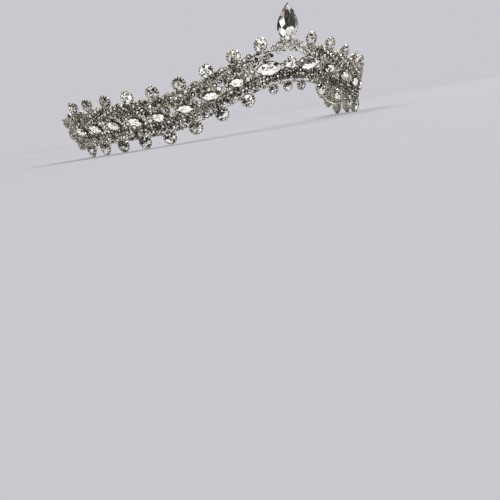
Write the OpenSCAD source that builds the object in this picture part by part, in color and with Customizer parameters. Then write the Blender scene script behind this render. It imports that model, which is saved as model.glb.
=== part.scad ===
// Open tiara of soldered wire, set with cut stones in claw collets.
// The band is laid out flat first: s runs along it from the middle of the front, t runs up it
// from the line of the lower stones, and n stands out from it. The front faces -Y, and left
// and right are as seen from the front.

/* [Plan] */
// Radius of the band's plan at the front
front_r = 78; // [76:1:82]
// Length along the band, from its middle, that keeps the front radius
front_s = 20; // [16:1:24]
// Radius of the band's plan along the sides
side_r = 90; // [88:1:94]
// Angle by which the band leans outward on its way up
lean = 16; // [12:1:18]
// Height of the front's lower edge over the lower edge of the sides
front_rise = 17; // [12:1:18]
// Length along the band, from its middle, over which that rise fades out
rise_length = 76; // [72:1:78]

/* [Band] */
// Height up the band of the lower rail
lower_rail_t = 2.4; // [2.2:0.1:2.6]
// Height up the band of the line along which the small navettes are carried
spine_rail_t = 12; // [11.5:0.1:12.3]
// Height up the band of the upper rail
upper_rail_t = 21.6; // [21.2:0.1:22]
// Radius of the rail wire
rail_r = 0.7; // [0.6:0.05:0.8]
// Radius of the slanting bars behind the feather rows
bar_r = 0.55; // [0.5:0.05:0.6]
// Width of the square struts that carry the stones
strut_w = 1.2; // [1:0.1:1.4]

/* [Round stones] */
// Diameter of the round stones on both edges
round_d = 7; // [6.6:0.1:7.1]
// Distance from one lower stone to the next
lower_pitch = 15.1; // [14.9:0.1:15.3]
// Distance from one upper stone to the next
upper_pitch = 14.3; // [14.2:0.1:14.4]
// Distance of the first upper stone from the middle
upper_first = 15; // [14.6:0.1:15.2]
// Height up the band of the upper stones
upper_t = 26.4; // [26.3:0.1:26.8]
// Diameter of the three round stones under the front
front_round_d = 5.2; // [4.8:0.1:5.4]
// Distance between those three stones
front_round_pitch = 9; // [8.8:0.1:9.2]
// Diameter of the stones around the ends
end_round_d = 5.4; // [5:0.1:5.6]

/* [Front] */
// Width of the pear-shaped stone
pear_w = 12.6; // [12:0.1:13]
// Height of the pear-shaped stone
pear_h = 18; // [17:0.1:18.4]
// Diameter of the round stone in the middle of the front
center_d = 7.4; // [7:0.1:7.6]
// Length of the two large navettes
front_navette_l = 15.4; // [15:0.1:15.6]
// Width of the two large navettes
front_navette_w = 7.4; // [7:0.1:7.6]
// Diameter of the small stones under the pear
crest_d = 3.1; // [2.9:0.1:3.1]

/* [Spine and rows] */
// Length of the small navettes along the spine
spine_l = 9.5; // [9:0.1:9.8]
// Width of the small navettes along the spine
spine_w = 4.6; // [4.4:0.1:4.8]
// Tilt of the small navettes, lower towards the front
spine_tilt = 20; // [16:1:22]
// Radius of the slanting rows of small stones
feather_r = 1.1; // [0.9:0.05:1.1]

/* [Hidden] */
round_count = 9;
lower_count = 8;
feather_count = 8;
sides = [-1, 1];
side_names = ["left", "right"];

degrees_per_radian = 180 / PI;
front_turn = front_s / front_r * degrees_per_radian;

// Depths out from the band's wires, of the girdles of the stones
round_n = 2;
pear_n = 2.4;
center_n = 5;
front_navette_n = 3.6;
spine_n = 3;
crest_n = 2.6;
rows_n = 2.1;

// Cuts, as [crown, pavilion] depths, the width of each table by its stone's, and the depths of
// round stones by their diameter
pear_cut = [2.2, 3.4];
front_navette_cut = [1.6, 2.4];
spine_cut = [1.1, 1.7];
round_table = 0.6;
round_depths = [0.17, 0.34];
long_table = 0.56;

// Collets: gap to the stone, walls, heights of rim and claws over the girdle, and the base
stone_gap = 0.18;
rim_wall = 0.5;
crest_wall = 0.4;
rim_lift = 0.05;
claw_lift = 0.85;
wall_drop = 0.6;
base_share = 0.5;
base_wall = 0.9;

// The band stands on the collets of its lowest stones
seat_z = (round_d / 2 + rim_wall) * cos(lean) + (round_n + rim_lift) * sin(lean);

// Bezier corners [s, t] of the wire that goes round each end, from the lower to the upper rail
end_corners = [[130, lower_rail_t], [146, 3.5], [157, 21], [142, upper_rail_t]];
end_steps = 6;
// How far along that curve the end stones stand, and how far outside it
end_shares = [0.25, 0.5, 0.74];
end_offset = 1.7;

// Top of the front arch, its half width, and how sharply it falls to the sides
arch_t = 24.2;
arch_half = 19;
arch_drop = 9;
arch_steps = 6;
arch_row_s = [15.6:-1.4:11.4];
// Ends [s, t] of the straight rows between the arch's leg and the first feather row
inner_row_places = [[[32, 16.8], [15.5, 20.6]], [[27.5, 16], [18, 17.9]]];

pear_t = 33.2;
front_round_t = 0.4;
front_navette_s = 11.8;
front_navette_t = 12.9;
front_navette_tilt = 7;
spine_first = 29;
spine_t = 12.4;
spine_count = 8;
// Places [s, t] of the small stones on one side under the pear
crest_places = [[1.8, 24.9], [5.3, 24.1], [8.3, 22.8]];

// Feather rows, measured from the upper stone that each one rises to, and the bars behind them
feather_tail = [27.2, 16.6];
feather_head = [5, 23.8];
feather_bow = 0.85;
feather_step = 0.25;
// Shorter rows inside each end: where the last feather row stops, and the [s, t] ends of the others
last_feather_share = 0.5;
end_row_places = [[[135.4, 14.4], [145, 13.4]], [[134.6, 11.2], [144.6, 9.2]]];
bar_knee = 29.1;
bar_foot = 34.5;
bar_bend = [15.3, 19.3];
bar_top = 1.6;
rail_step = 10.5;
rail_end_gap = 3;
// Where the upper rail meets the arch
arch_meet_s = 10.5;
// Post behind the pear, at the arch and at its upper end
pear_post = [2.6, 3.4];
post_gap = 2.3;

// Dense rows along the lower edge: bottom, top, where they end, and how far they stand out
edge_bottom_t = 4.5;
edge_top_t = 9;
edge_end_s = 136;
edge_steps = 18;
edge_back_n = 0.9;
edge_front_n = 2.5;

// The origin is under the middle of the box, between the pear's claws and the end stones
pear_tip_t = pear_t + pear_h * 2 / 3 + rim_wall;
front_reach = front_r + pear_tip_t * sin(lean) + (pear_n + claw_lift) * cos(lean);
back_stone = end_place(end_shares[2]);
back_out = back_stone.y * sin(lean) + (round_n + rim_lift) * cos(lean);
back_reach = end_round_d / 2 + rim_wall + plan(back_stone.x, back_out).y;
origin_back = (front_reach - back_reach) / 2;

// Layout of the band

function unit(v) = v / norm(v);
function heading(s) =
    let (
        a = abs(s),
        turn = a < front_s ? a / front_r : front_s / front_r + (a - front_s) / side_r
    )
    sign(s) * turn * degrees_per_radian;
function rise(s) = abs(s) < rise_length ? front_rise * pow(cos(90 * s / rise_length), 2) : 0;
function rise_angle(s) =
    abs(s) < rise_length ? -atan(front_rise * PI / 2 / rise_length * sin(180 * s / rise_length)) : 0;
// Place in plan, at a distance out from the band's foot, with the front arc's centre at [0, 0]
function plan(s, out) =
    let (
        turn = heading(s),
        front = abs(s) < front_s,
        reach = out + (front ? front_r : side_r),
        shift = front ? 0 : front_r - side_r
    )
    [
        sign(s) * shift * sin(front_turn) + reach * sin(turn),
        -shift * cos(front_turn) - reach * cos(turn)
    ];
function on_band(s, t, n) =
    let (place = plan(s, t * sin(lean) + n * cos(lean)))
    [place.x, place.y + origin_back, seat_z + rise(s) + t * cos(lean) - n * sin(lean)];
function outward(point) = unit([point.x, point.y - origin_back, 0]);

module at_band(s, t, n, turn = 0) {
    translate(on_band(s, t, n))
        rotate([90 + lean, 0, heading(s)])
            rotate([0, 0, rise_angle(s) + turn])
                children();
}

module on_side(side) {
    mirror([side < 0 ? 1 : 0, 0, 0])
        children();
}

// Places that follow a rule

function upper_s(i) = upper_first + (i - 1) * upper_pitch;
function lower_s(i) = front_round_pitch + i * lower_pitch;
function spine_s(i) = spine_first + (i - 1) * upper_pitch;
function arch(s) = arch_t - arch_drop * pow(min(abs(s) / arch_half, 1.06), 1.6);
function bezier(p, u) =
    let (v = 1 - u)
    v * v * v * p[0] + 3 * v * v * u * p[1] + 3 * v * u * u * p[2] + u * u * u * p[3];
function end_place(share) =
    let (
        ahead = unit(bezier(end_corners, share + 0.01) - bezier(end_corners, share - 0.01)),
        place = bezier(end_corners, share)
    )
    place + end_offset * [ahead.y, -ahead.x];
function feather_place(i, u) =
    let (from = feather_tail, to = feather_head)
    [upper_s(i) + from.x + (to.x - from.x) * u, to.y - (to.y - from.y) * pow(1 - u, feather_bow)];

// Outlines, anticlockwise

function round_outline(d, count = 8) = [
    for (i = [1:count])
        d / 2 * [cos(360 * i / count), sin(360 * i / count)]
];
function navette_outline(l, w, half = 4) =
    let (r = (l * l + w * w) / (4 * w), reach = asin(l / 2 / r))
    [
        for (side = [1, -1], i = [0:half - 1])
            let (a = side * reach * (1 - 2 * i / half))
            [r * sin(a), side * (r * cos(a) - r + w / 2)]
    ];
// The widest place of the pear is at the origin, a third of the way up
function pear_outline(w, h, count = 12) = [
    for (i = [0:count - 1])
        let (a = 360 * i / count)
        [-w / 2 * sin(a) * abs(sin(a / 2)) / 0.77, h / 2 * cos(a) + h / 6]
];
function grow(p, by) = p * (1 + by / norm(p));
function at_height(p, z) = [p.x, p.y, z];
function reversed(list) = [for (i = [len(list) - 1:-1:0]) list[i]];

// Closed skin from a point, through rings of equal count, to a flat last ring
module skin(tip, rings) {
    count = len(rings[0]);
    last = len(rings) - 1;
    points = concat([tip], [for (ring = rings, p = ring) p]);
    function at(ring, i) = 1 + ring * count + i % count;
    polyhedron(
        points,
        concat(
            [for (i = [0:count - 1]) [0, at(0, i), at(0, i + 1)]],
            [
                for (ring = [0:last - 1], i = [0:count - 1], half = [0, 1])
                    half == 0
                        ? [at(ring, i), at(ring + 1, i), at(ring + 1, i + 1)]
                        : [at(ring, i), at(ring + 1, i + 1), at(ring, i + 1)]
            ],
            [[for (i = [count - 1:-1:0]) at(last, i)]]
        )
    );
}

// Cut stone: a point below, a girdle at z = 0 and a table on top
module cut_stone(outline, cut, table) {
    skin(
        [0, 0, -cut[1]],
        [
            [for (p = outline) at_height(p, 0)],
            [for (p = outline) at_height(table * p, cut[0])]
        ]
    );
}

// Collet: a cup that follows the stone's back, with a claw over each claw_step-th corner
module collet(outline, pavilion, depth, claw_step = 2, wall = rim_wall) {
    rim = [for (i = [len(outline) - 1:-1:0]) [outline[i].x, outline[i].y, i % claw_step]];
    skin(
        [0, 0, -pavilion - 2 * stone_gap],
        [
            [for (p = rim) at_height(grow([p.x, p.y], stone_gap), -stone_gap)],
            [for (p = rim) at_height(grow([p.x, p.y], wall), p.z == 0 ? claw_lift : rim_lift)],
            [for (p = rim) at_height(grow([p.x, p.y], wall), -wall_drop)],
            [for (p = rim) at_height(base_share * [p.x, p.y], -depth)]
        ]
    );
}

// Wire through points, of a few flat sides
module wire(points, radius, count = 5) {
    last = len(points) - 1;
    skin_points = [
        for (i = [0:last])
            let (
                ahead = unit(points[min(i + 1, last)] - points[max(i - 1, 0)]),
                across = unit(cross(ahead, outward(points[i]))),
                up = cross(ahead, across)
            )
            for (j = [0:count - 1])
                points[i] + radius * (cos(360 * j / count) * across + sin(360 * j / count) * up)
    ];
    tube(skin_points, count);
}

// Closed tube through rings of count points, with flat ends
module tube(points, count) {
    last = len(points) / count - 1;
    function at(ring, i) = ring * count + i % count;
    polyhedron(
        points,
        concat(
            [[for (i = [0:count - 1]) at(0, i)]],
            [
                for (ring = [0:last - 1], i = [0:count - 1], half = [0, 1])
                    half == 0
                        ? [at(ring, i), at(ring + 1, i), at(ring + 1, i + 1)]
                        : [at(ring, i), at(ring + 1, i + 1), at(ring, i + 1)]
            ],
            [[for (i = [count - 1:-1:0]) at(last, i)]]
        )
    );
}

module band_wire(places, n, radius, count = 5) {
    wire([for (p = places) on_band(p.x, p.y, n)], radius, count);
}

// Rail wire given from the middle outwards, and drawn across both halves
module spanning_wire(half) {
    other = [for (i = [len(half) - 1:-1:1]) [-half[i].x, half[i].y]];
    band_wire(concat(other, half), 0, rail_r);
}

module strut(from, to) {
    hull() {
        at_band(from.x, from.y, 0) cube(strut_w, center = true);
        at_band(to.x, to.y, 0) cube(strut_w, center = true);
    }
}

function round_cut(d) = d * round_depths;

module round_stone(s, t, n, d) {
    color("aliceblue")
        at_band(s, t, n)
            cut_stone(round_outline(d), round_cut(d), round_table);
}

module round_collet(s, t, n, d, depth = 0, wall = rim_wall) {
    at_band(s, t, n)
        collet(round_outline(d), round_cut(d)[1], max(depth, round_cut(d)[1] + base_wall), 2, wall);
}

// Frame: everything that is soldered together

// From the arch along the upper edge, round one end, along the lower edge and back by the other
module rails() {
    lower = [for (s = [0:rail_step:end_corners[0].x - rail_end_gap]) s];
    upper = [for (s = [upper_first:rail_step:end_corners[3].x - rail_end_gap]) s];
    spanning_wire(
        concat(
            [for (s = lower) [s, lower_rail_t]],
            [for (i = [0:end_steps]) bezier(end_corners, i / end_steps)],
            [for (s = reversed(upper)) [s, upper_rail_t]],
            [[arch_meet_s, arch(arch_meet_s)]]
        )
    );
}

// Slanting bars, each from the lower rail past a small navette up to the upper rail
module bars() {
    for (i = [1:feather_count]) {
        foot = i == feather_count ? bezier(end_corners, 0.5) : [upper_s(i) + bar_foot, lower_rail_t];
        knee = [upper_s(i) + bar_knee, spine_rail_t];
        bend = [upper_s(i) + bar_bend.x, bar_bend.y];
        top = [upper_s(i) + bar_top, upper_rail_t];
        band_wire([foot, knee, feather_place(i, 0), bend, top], 0, bar_r);
    }
}

// Arch over the front, whose legs carry the first small navettes, and the rail under it
module arch_wires() {
    curve = [for (i = [0:arch_steps]) [arch_half * i / arch_steps, arch(arch_half * i / arch_steps)]];
    knee = [spine_first, spine_rail_t];
    foot = [upper_first - upper_pitch + bar_foot, lower_rail_t];
    spanning_wire(concat(curve, [knee, foot]));
    spanning_wire([for (s = [0:arch_half / 2:spine_first]) [s, front_navette_t]]);
}

module edge_settings() {
    for (i = [1:round_count]) {
        strut([upper_s(i), upper_rail_t], [upper_s(i), upper_t - post_gap]);
        round_collet(upper_s(i), upper_t, round_n, round_d);
    }
    for (i = [1:lower_count])
        round_collet(lower_s(i), 0, round_n, round_d);
    for (share = end_shares) {
        p = end_place(share);
        round_collet(p.x, p.y, round_n, end_round_d);
    }
    round_collet(front_round_pitch, front_round_t, round_n, front_round_d);
}

module front_settings() {
    at_band(front_navette_s, front_navette_t, front_navette_n, front_navette_tilt)
        collet(navette_outline(front_navette_l, front_navette_w), front_navette_cut[1], front_navette_n, 4);
    strut([pear_post[0], arch(pear_post[0])], [pear_post[1], pear_t]);
    for (p = crest_places)
        round_collet(p.x, p.y, crest_n, crest_d, crest_n, crest_wall);
}

module middle_settings() {
    round_collet(0, front_round_t, round_n, front_round_d);
    round_collet(0, front_navette_t, center_n, center_d, center_n);
    at_band(0, pear_t, pear_n)
        collet(pear_outline(pear_w, pear_h), pear_cut[1], pear_cut[1] + base_wall, 3);
}

module spine_settings() {
    for (i = [1:spine_count])
        at_band(spine_s(i), spine_t, spine_n, spine_tilt)
            collet(navette_outline(spine_l, spine_w), spine_cut[1], spine_n, 4, crest_wall);
}

module frame() {
    color("silver") {
        rails();
        arch_wires();
        middle_settings();
        for (side = sides)
            on_side(side) {
                bars();
                edge_settings();
                front_settings();
                spine_settings();
            }
    }
}

// Stones

module pear_stone() {
    color("aliceblue")
        at_band(0, pear_t, pear_n)
            cut_stone(pear_outline(pear_w, pear_h), pear_cut, long_table);
}

module center_stone() {
    round_stone(0, front_navette_t, center_n, center_d);
}

module front_navette(side) {
    color("aliceblue")
        on_side(side)
            at_band(front_navette_s, front_navette_t, front_navette_n, front_navette_tilt)
                cut_stone(navette_outline(front_navette_l, front_navette_w), front_navette_cut, long_table);
}

module upper_stone(side, i) {
    on_side(side)
        round_stone(upper_s(i), upper_t, round_n, round_d);
}

module lower_stone(side, i) {
    on_side(side)
        round_stone(lower_s(i), 0, round_n, round_d);
}

module lower_stone_front(place) {
    round_stone(place * front_round_pitch, front_round_t, round_n, front_round_d);
}

module spine_stones(side) {
    color("aliceblue")
        on_side(side)
            for (i = [1:spine_count])
                at_band(spine_s(i), spine_t, spine_n, spine_tilt)
                    cut_stone(navette_outline(spine_l, spine_w), spine_cut, long_table);
}

module end_stones(side) {
    on_side(side)
        for (share = end_shares) {
            p = end_place(share);
            round_stone(p.x, p.y, round_n, end_round_d);
        }
}

module crest_stones() {
    for (side = sides, p = crest_places)
        on_side(side)
            round_stone(p.x, p.y, crest_n, crest_d);
}

// Rows of small stones, each as the rod that the row fills

module row(places) {
    band_wire(places, rows_n, feather_r, 6);
}

module straight_row(ends) {
    row([for (share = [0, 0.5, 1]) ends[0] + (ends[1] - ends[0]) * share]);
}

module feather_rows(side) {
    color("gainsboro")
        on_side(side) {
            for (i = [1:feather_count])
                row([for (u = [0:feather_step:1]) feather_place(i, u)]);
            row([for (u = [last_feather_share:feather_step:1]) feather_place(feather_count + 1, u)]);
            for (ends = end_row_places)
                straight_row(ends);
        }
}

module arch_rows() {
    color("gainsboro")
        for (side = sides)
            on_side(side) {
                row([for (s = arch_row_s) [s, arch(s)]]);
                for (ends = inner_row_places)
                    straight_row(ends);
            }
}

module edge_rows() {
    corners = [
        [edge_bottom_t, edge_back_n],
        [edge_top_t, edge_back_n],
        [edge_top_t, edge_front_n],
        [edge_bottom_t, edge_front_n]
    ];
    color("gainsboro")
        tube(
            [
                for (k = [-edge_steps:edge_steps], c = corners)
                    on_band(edge_end_s * k / edge_steps, c.x, c.y)
            ],
            len(corners)
        );
}

frame();
pear_stone();
center_stone();
for (k = [0, 1]) {
    front_navette(sides[k]);
    spine_stones(sides[k]);
    end_stones(sides[k]);
    feather_rows(sides[k]);
    for (i = [1:round_count])
        upper_stone(sides[k], i);
    for (i = [1:lower_count])
        lower_stone(sides[k], i);
}
lower_stone_front(-1);  // lower_stone_front_left
lower_stone_front(0);  // lower_stone_front_center
lower_stone_front(1);  // lower_stone_front_right
crest_stones();
arch_rows();
edge_rows();
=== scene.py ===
import math
import random

import bmesh
import bpy
import numpy as np
from mathutils import Matrix, Vector


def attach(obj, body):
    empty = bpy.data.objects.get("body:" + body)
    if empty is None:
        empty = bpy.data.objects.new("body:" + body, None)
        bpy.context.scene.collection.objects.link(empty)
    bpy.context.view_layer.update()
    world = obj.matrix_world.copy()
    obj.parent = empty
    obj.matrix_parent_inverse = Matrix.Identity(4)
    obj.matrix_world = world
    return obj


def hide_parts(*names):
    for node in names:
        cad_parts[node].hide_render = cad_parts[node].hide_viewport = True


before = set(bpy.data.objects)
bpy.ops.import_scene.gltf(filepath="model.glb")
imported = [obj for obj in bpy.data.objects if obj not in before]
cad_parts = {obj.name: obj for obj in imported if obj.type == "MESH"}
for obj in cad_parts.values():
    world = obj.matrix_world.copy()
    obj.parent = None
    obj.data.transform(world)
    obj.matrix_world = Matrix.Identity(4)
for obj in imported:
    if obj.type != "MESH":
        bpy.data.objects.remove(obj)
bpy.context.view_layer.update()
mm = 0.001  # lengths are in millimetres, apart from those of the finishes, the stage and the lamps
chance = random.Random(11)

print("Tiara: laying out the band")

# s runs along the band from the middle of the front, t up it from the lower stones, n out of it
band = {
    "frontRadius": 78.0,
    "frontLength": 20.0,
    "sideRadius": 90.0,
    "lean": math.radians(16.0),
    "frontRise": 17.0,
    "riseLength": 76.0,
    "seat": 4.41,
    "originBack": 32.956,  # from the origin back to the centre of the front arc
}
rail = {
    "lower": 2.4,
    "upper": 21.6,
    "archTop": 24.2,
    "archHalf": 19.0,
    "archDrop": 9.0,
    "archPower": 1.6,
    "archReach": 1.06,  # in halves of its width, where it stops falling
    "archMeet": 10.5,
    "endCorners": np.array([(130.0, 2.4), (146.0, 3.5), (157.0, 21.0), (142.0, 21.6)]),
}
upperRow = {"first": 15.0, "pitch": 14.3, "t": 26.4, "count": 9}
lowerRow = {"first": 9.0, "pitch": 15.1, "t": 0.0, "count": 8}
sideNames = {-1: "left", 1: "right"}


def headingAt(s):
    a = np.abs(s)
    fore = band["frontLength"] / band["frontRadius"]
    beyond = fore + (a - band["frontLength"]) / band["sideRadius"]
    return np.sign(s) * np.where(a < band["frontLength"], a / band["frontRadius"], beyond)


def riseAt(s):
    wave = np.cos(math.pi / 2 * s / band["riseLength"]) ** 2
    return np.where(np.abs(s) < band["riseLength"], band["frontRise"] * wave, 0.0)


def slopeAt(s):
    steepest = band["frontRise"] * math.pi / 2 / band["riseLength"]
    steep = -np.arctan(steepest * np.sin(math.pi * s / band["riseLength"]))
    return np.where(np.abs(s) < band["riseLength"], steep, 0.0)


def onBand(s, t, n):
    s, t, n = np.broadcast_arrays(np.asarray(s, float), np.asarray(t, float), np.asarray(n, float))
    fore = band["frontLength"] / band["frontRadius"]
    inFront = np.abs(s) < band["frontLength"]
    reach = t * math.sin(band["lean"]) + n * math.cos(band["lean"])
    reach = reach + np.where(inFront, band["frontRadius"], band["sideRadius"])
    shift = np.where(inFront, 0.0, band["frontRadius"] - band["sideRadius"])
    turn = headingAt(s)
    x = np.sign(s) * shift * math.sin(fore) + reach * np.sin(turn)
    y = band["originBack"] - shift * math.cos(fore) - reach * np.cos(turn)
    z = band["seat"] + riseAt(s) + t * math.cos(band["lean"]) - n * math.sin(band["lean"])
    return np.stack([x, y, z], axis=-1)


def bandPath(places, n):
    places = np.asarray(places, float)
    return onBand(places[:, 0], places[:, 1], n)


def turnAbout(axis, angle):
    return np.array(Matrix.Rotation(angle, 3, axis))


def bandAxes(s, turn=0.0):  # columns: along the band, up it, out of it
    upright = turnAbout("X", math.pi / 2 + band["lean"])
    return turnAbout("Z", float(headingAt(s))) @ upright @ turnAbout("Z", float(slopeAt(s)) + turn)


def bezier(corners, u):
    u = np.asarray(u, float)[..., None]
    v = 1 - u
    return v**3 * corners[0] + 3 * v**2 * u * corners[1] + 3 * v * u**2 * corners[2] + u**3 * corners[3]


def archAt(s):
    away = np.minimum(np.abs(s) / rail["archHalf"], rail["archReach"])
    return rail["archTop"] - rail["archDrop"] * away ** rail["archPower"]


def upperAt(i):
    return upperRow["first"] + (i - 1) * upperRow["pitch"]


def lowerAt(i):
    return lowerRow["first"] + i * lowerRow["pitch"]


def smoothPath(points, steps):  # a soft curve through the given points
    points = np.asarray(points, float)
    padded = np.vstack([2 * points[0] - points[1], points, 2 * points[-1] - points[-2]])
    out = []
    for k in range(len(points) - 1):
        a, b, c, d = padded[k : k + 4]
        square, cube = 2 * a - 5 * b + 4 * c - d, 3 * b - a - 3 * c + d
        for u in np.arange(steps) / steps:
            out.append(0.5 * (2 * b + (c - a) * u + square * u**2 + cube * u**3))
    out.append(points[-1])
    return np.array(out)


def evenlyAlong(points, pitch):  # places one pitch apart along a path
    steps = np.linalg.norm(np.diff(points, axis=0), axis=1)
    run = np.concatenate([[0], np.cumsum(steps)])
    count = max(int(run[-1] / pitch), 1)
    at = (run[-1] - (count - 1) * pitch) / 2 + pitch * np.arange(count)
    return np.stack([np.interp(at, run, points[:, k]) for k in range(points.shape[1])], axis=1)


class Shape:  # points, faces, and a tone of painted light and shade for each face, from 0, dark, to 1, bright
    def __init__(self):
        self.points, self.faces, self.tones = np.empty((0, 3)), [], []

    def add(self, points, faces, tones):
        count = len(self.points)
        self.points = np.vstack([self.points, points])
        self.faces += [tuple(count + k for k in face) for face in faces]
        self.tones += list(tones)
        return self

    def rings(self, rings, tones, closed=True, capTones=(0.1, 0.5)):  # a skin through rings of points; its caps take capTones, by default a dark first cap, painted shade inside a cup, and a grey last one
        count = len(rings[0])
        faces, shades = [], []
        for level in range(len(rings) - 1):
            a, b = level * count, (level + 1) * count
            for k in range(count):
                faces.append((a + k, b + k, b + (k + 1) % count, a + (k + 1) % count))
                shades.append(tones[level][k] if hasattr(tones[level], "__len__") else tones[level])
        if closed:
            last = (len(rings) - 1) * count
            faces += [tuple(range(count)), tuple(last + k for k in range(count - 1, -1, -1))]
            shades += capTones
        return self.add(np.vstack(rings), faces, shades)


class Pile:  # gathers the shapes of one piece
    def __init__(self):
        self.points, self.faces, self.tones, self.count = [], [], [], 0

    def add(self, shape, place=None, axes=None):
        points = shape.points if place is None else place + shape.points @ axes.T
        self.points.append(points)
        self.faces += [tuple(self.count + k for k in face) for face in shape.faces]
        self.tones += shape.tones
        self.count += len(points)

    def stamp(self, shape, s, t, n, turn=0.0):
        self.add(shape, onBand(s, t, n), bandAxes(s, turn))

    def make(self, name, finish, slotName, smoothAngle=None, replaces=()):
        mesh = bpy.data.meshes.new(name)
        mesh.from_pydata((np.vstack(self.points) * mm).tolist(), [], self.faces)
        mesh.materials.append(finish)
        # each face's tone, its painted light and shade, goes to the finish
        tone = mesh.attributes.new("facetTone", "FLOAT", "FACE")
        tone.data.foreach_set("value", self.tones)
        skin = bmesh.new()
        skin.from_mesh(mesh)
        bmesh.ops.recalc_face_normals(skin, faces=skin.faces)
        skin.to_mesh(mesh)
        skin.free()
        if smoothAngle is not None:
            mesh.shade_smooth()
            mesh.set_sharp_from_angle(angle=math.radians(smoothAngle))
        piece = bpy.data.objects.new(name, mesh)
        bpy.context.scene.collection.objects.link(piece)
        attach(piece, "root")
        if replaces:
            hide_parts(*replaces)


def pieceNameOf(node):  # upper_stone_left_1 becomes upperStoneLeft1
    words = node.split("_")
    return words[0] + "".join(word.capitalize() for word in words[1:])


print("Tiara: mixing the finishes")


class Signal:  # one output socket; sums and products of signals add Math nodes
    def __init__(self, finish, socket):
        self.finish, self.socket = finish, socket

    def math(self, operation, first, second):
        return self.finish.add("ShaderNodeMath", {"operation": operation}, {0: first, 1: second})

    def __add__(self, other):
        return self.math("ADD", self, other)

    def __radd__(self, other):
        return self.math("ADD", other, self)

    def __sub__(self, other):
        return self.math("SUBTRACT", self, other)

    def __rsub__(self, other):
        return self.math("SUBTRACT", other, self)

    def __mul__(self, other):
        return self.math("MULTIPLY", self, other)

    def __rmul__(self, other):
        return self.math("MULTIPLY", other, self)


class Finish:  # a material, or the world, and its nodes
    def __init__(self, name, holder=None):
        self.block = holder or bpy.data.materials.new(name)
        self.block.use_nodes = True
        self.tree = self.block.node_tree
        self.tree.nodes.clear()

    def add(self, kind, settings, values, output=0):
        node = self.tree.nodes.new(kind)
        for key, value in settings.items():
            if key == "stops":
                ramp = node.color_ramp
                while len(ramp.elements) < len(value):
                    ramp.elements.new(0.5)
                for stop, (place, shade) in zip(ramp.elements, value):
                    stop.position, stop.color = place, (*shade, 1.0)
            else:
                setattr(node, key, value)
        for key, value in values.items():
            if isinstance(value, Signal):
                self.tree.links.new(value.socket, node.inputs[key])
            else:
                node.inputs[key].default_value = value
        return Signal(self, node.outputs[output]) if node.outputs else None

    def surface(self, values):
        shader = self.add("ShaderNodeBsdfPrincipled", {}, values)
        self.add("ShaderNodeOutputMaterial", {}, {"Surface": shader})
        return self.block


def grey(value, tint=(1.0, 1.0, 1.0)):
    return tuple(value * k for k in tint)


def warmStops(look):  # a ramp of greys, warmer in the dark than in the light, a painted reflection of warm surroundings
    stops = []
    for at, value in look["stops"]:
        tint = [dark + (bright - dark) * at for dark, bright in zip(look["shadow"], look["light"])]
        stops.append((at, grey(value, tint)))
    return stops


metalLook = {
    "stops": [(0.0, 0.025), (0.25, 0.11), (0.5, 0.4), (0.75, 0.8), (1.0, 0.98)],
    "shadow": (1.0, 0.88, 0.64),
    "light": (1.0, 0.96, 0.85),
    "cloud": {"Scale": 700.0, "Detail": 3.0},
    "cloudShare": 0.35,
    "grain": {"Scale": 5000.0, "Detail": 2.0},
    "smooth": 0.16,
    "rough": 0.34,
    "relief": {"Strength": 0.25, "Distance": 0.00006},
}


def silverFinish():
    look = metalLook
    finish = Finish("silverMetal")
    place = finish.add("ShaderNodeTexCoord", {}, {}, "Object")
    # each face's tone is its painted light and shade, which picks its grey
    tone = finish.add("ShaderNodeAttribute", {"attribute_name": "facetTone"}, {}, "Fac")
    cloud = finish.add("ShaderNodeTexNoise", {}, {"Vector": place, **look["cloud"]})
    grain = finish.add("ShaderNodeTexNoise", {}, {"Vector": place, **look["grain"]})
    clouded = tone + look["cloudShare"] * (cloud - 0.5)
    return finish.surface({
        "Base Color": finish.add("ShaderNodeValToRGB", {"stops": warmStops(look)}, {"Fac": clouded}),
        "Metallic": 1.0,
        "Roughness": look["smooth"] + (look["rough"] - look["smooth"]) * grain,
        "Normal": finish.add("ShaderNodeBump", {}, {"Height": grain, **look["relief"]}),
    })


crystalLook = {
    "stops": [(0.0, 0.01), (0.2, 0.025), (0.36, 0.16), (0.55, 0.45), (0.74, 0.92), (1.0, 1.0)],
    "shadow": (1.0, 0.9, 0.68),
    "light": (1.0, 0.975, 0.88),
    "depth": {"Scale": 1400.0, "Detail": 1.0},
    "depthShare": 0.25,
    "metallic": 0.55,
    "roughness": 0.06,
    "coatRoughness": 0.02,
    "gleam": [(0.8, grey(0.0)), (0.95, grey(1.0))],  # the brightest facets glow a little, a painted glint
    "glow": 0.6,
}
smallCrystalLook = dict(crystalLook, roughness=0.1, light=(1.0, 0.96, 0.83))


def crystalFinish(name, look):
    finish = Finish(name)
    # each facet's tone is its painted reflection, dark, grey or white
    tone = finish.add("ShaderNodeAttribute", {"attribute_name": "facetTone"}, {}, "Fac")
    place = finish.add("ShaderNodeTexCoord", {}, {}, "Object")
    depth = finish.add("ShaderNodeTexNoise", {}, {"Vector": place, **look["depth"]})
    mottled = tone + look["depthShare"] * (depth - 0.5)
    return finish.surface({
        "Base Color": finish.add("ShaderNodeValToRGB", {"stops": warmStops(look)}, {"Fac": mottled}),
        "Metallic": look["metallic"],
        "Roughness": look["roughness"],
        "Coat Weight": 1.0,
        "Coat Roughness": look["coatRoughness"],
        # painted glints: the brightest facets glow though no lamp is there
        "Emission Color": finish.add("ShaderNodeValToRGB", {"stops": look["gleam"]}, {"Fac": tone}),
        "Emission Strength": look["glow"],
    })


silver = silverFinish()
crystal = crystalFinish("crystal", crystalLook)
smallCrystal = crystalFinish("smallCrystal", smallCrystalLook)

print("Tiara: cutting the stones")


def roundOutline(d, count):
    a = 2 * math.pi * np.arange(count) / count
    return d / 2 * np.stack([np.cos(a), np.sin(a)], axis=1)


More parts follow.
